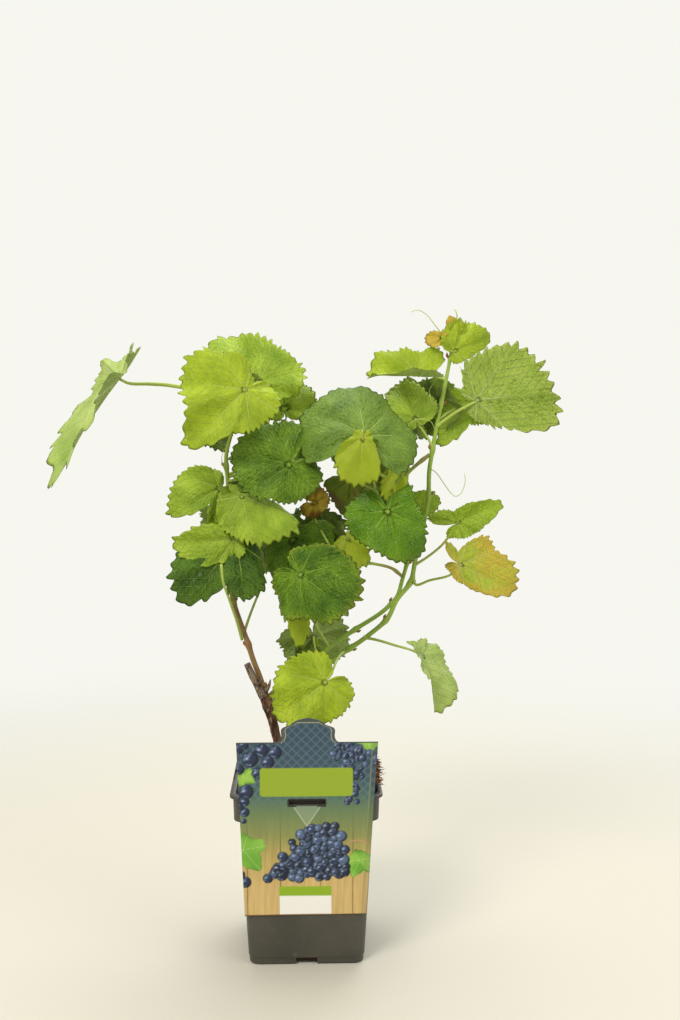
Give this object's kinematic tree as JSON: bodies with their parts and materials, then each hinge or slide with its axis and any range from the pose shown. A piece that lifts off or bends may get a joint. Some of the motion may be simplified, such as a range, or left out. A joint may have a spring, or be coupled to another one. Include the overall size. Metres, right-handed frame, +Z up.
{
  "type": "potted grapevine",
  "caption": "Young grapevine in a square nursery pot: short woody trunk, climbing green shoots, broad toothed leaves, soil, and a printed picture card hooked over the rim.",
  "frame": {"origin": "middle of the pot's flat underside, on the surface it stands on", "axes": "+Z up along the plant; -Y towards the printed card, the plant's front; +X to the right seen from the front"},
  "size_m": [0.5026, 0.2106, 0.6436],
  "materials": {
    "pot_plastic": "satin",
    "peat": "matte",
    "printed_card": "satin",
    "bark": "matte",
    "dead_wood": "matte",
    "green_shoot": "satin",
    "leaf_stalk": "satin",
    "leaf_green": "satin",
    "leaf_yellow": "satin",
    "leaf_autumn": "matte"
  },
  "bodies": {
    "root": {"foliage_autumn": "leaf_autumn", "foliage_back_centre": "leaf_green", "foliage_back_dark_left": "leaf_green", "foliage_back_low": "leaf_green", "foliage_back_low_left": "leaf_green", "foliage_back_right": "leaf_green", "foliage_back_top": "leaf_green", "foliage_back_upper_centre": "leaf_green", "foliage_back_upper_left": "leaf_green", "foliage_behind_right": "leaf_green", "foliage_bow_right": "leaf_green", "foliage_centre": "leaf_green", "foliage_dark_left": "leaf_green", "foliage_dark_middle": "leaf_green", "foliage_far_left": "leaf_green", "foliage_far_right": "leaf_green", "foliage_left": "leaf_green", "foliage_low_centre": "leaf_green", "foliage_low_front": "leaf_green", "foliage_low_left": "leaf_green", "foliage_mid_right": "leaf_green", "foliage_olive": "leaf_green", "foliage_right_behind": "leaf_green", "foliage_right_centre": "leaf_green", "foliage_right_hang": "leaf_green", "foliage_top_left": "leaf_green", "foliage_top_right": "leaf_green", "foliage_upper_left": "leaf_green", "foliage_yellow_behind": "leaf_green", "foliage_yellow_right": "leaf_yellow", "label_card": "printed_card", "left_shoot": "green_shoot", "pot": "pot_plastic", "pruned_stub": "dead_wood", "right_leader": "green_shoot", "right_second_shoot": "green_shoot", "second_shoot_heel": "bark", "soil": "peat", "stalk_far_left": "leaf_stalk", "stalk_far_right": "leaf_stalk", "stalk_low_front": "leaf_stalk", "stalk_right_hang": "leaf_stalk", "stalk_yellow": "leaf_stalk", "trunk": "bark"}
  },
  "joints": []
}
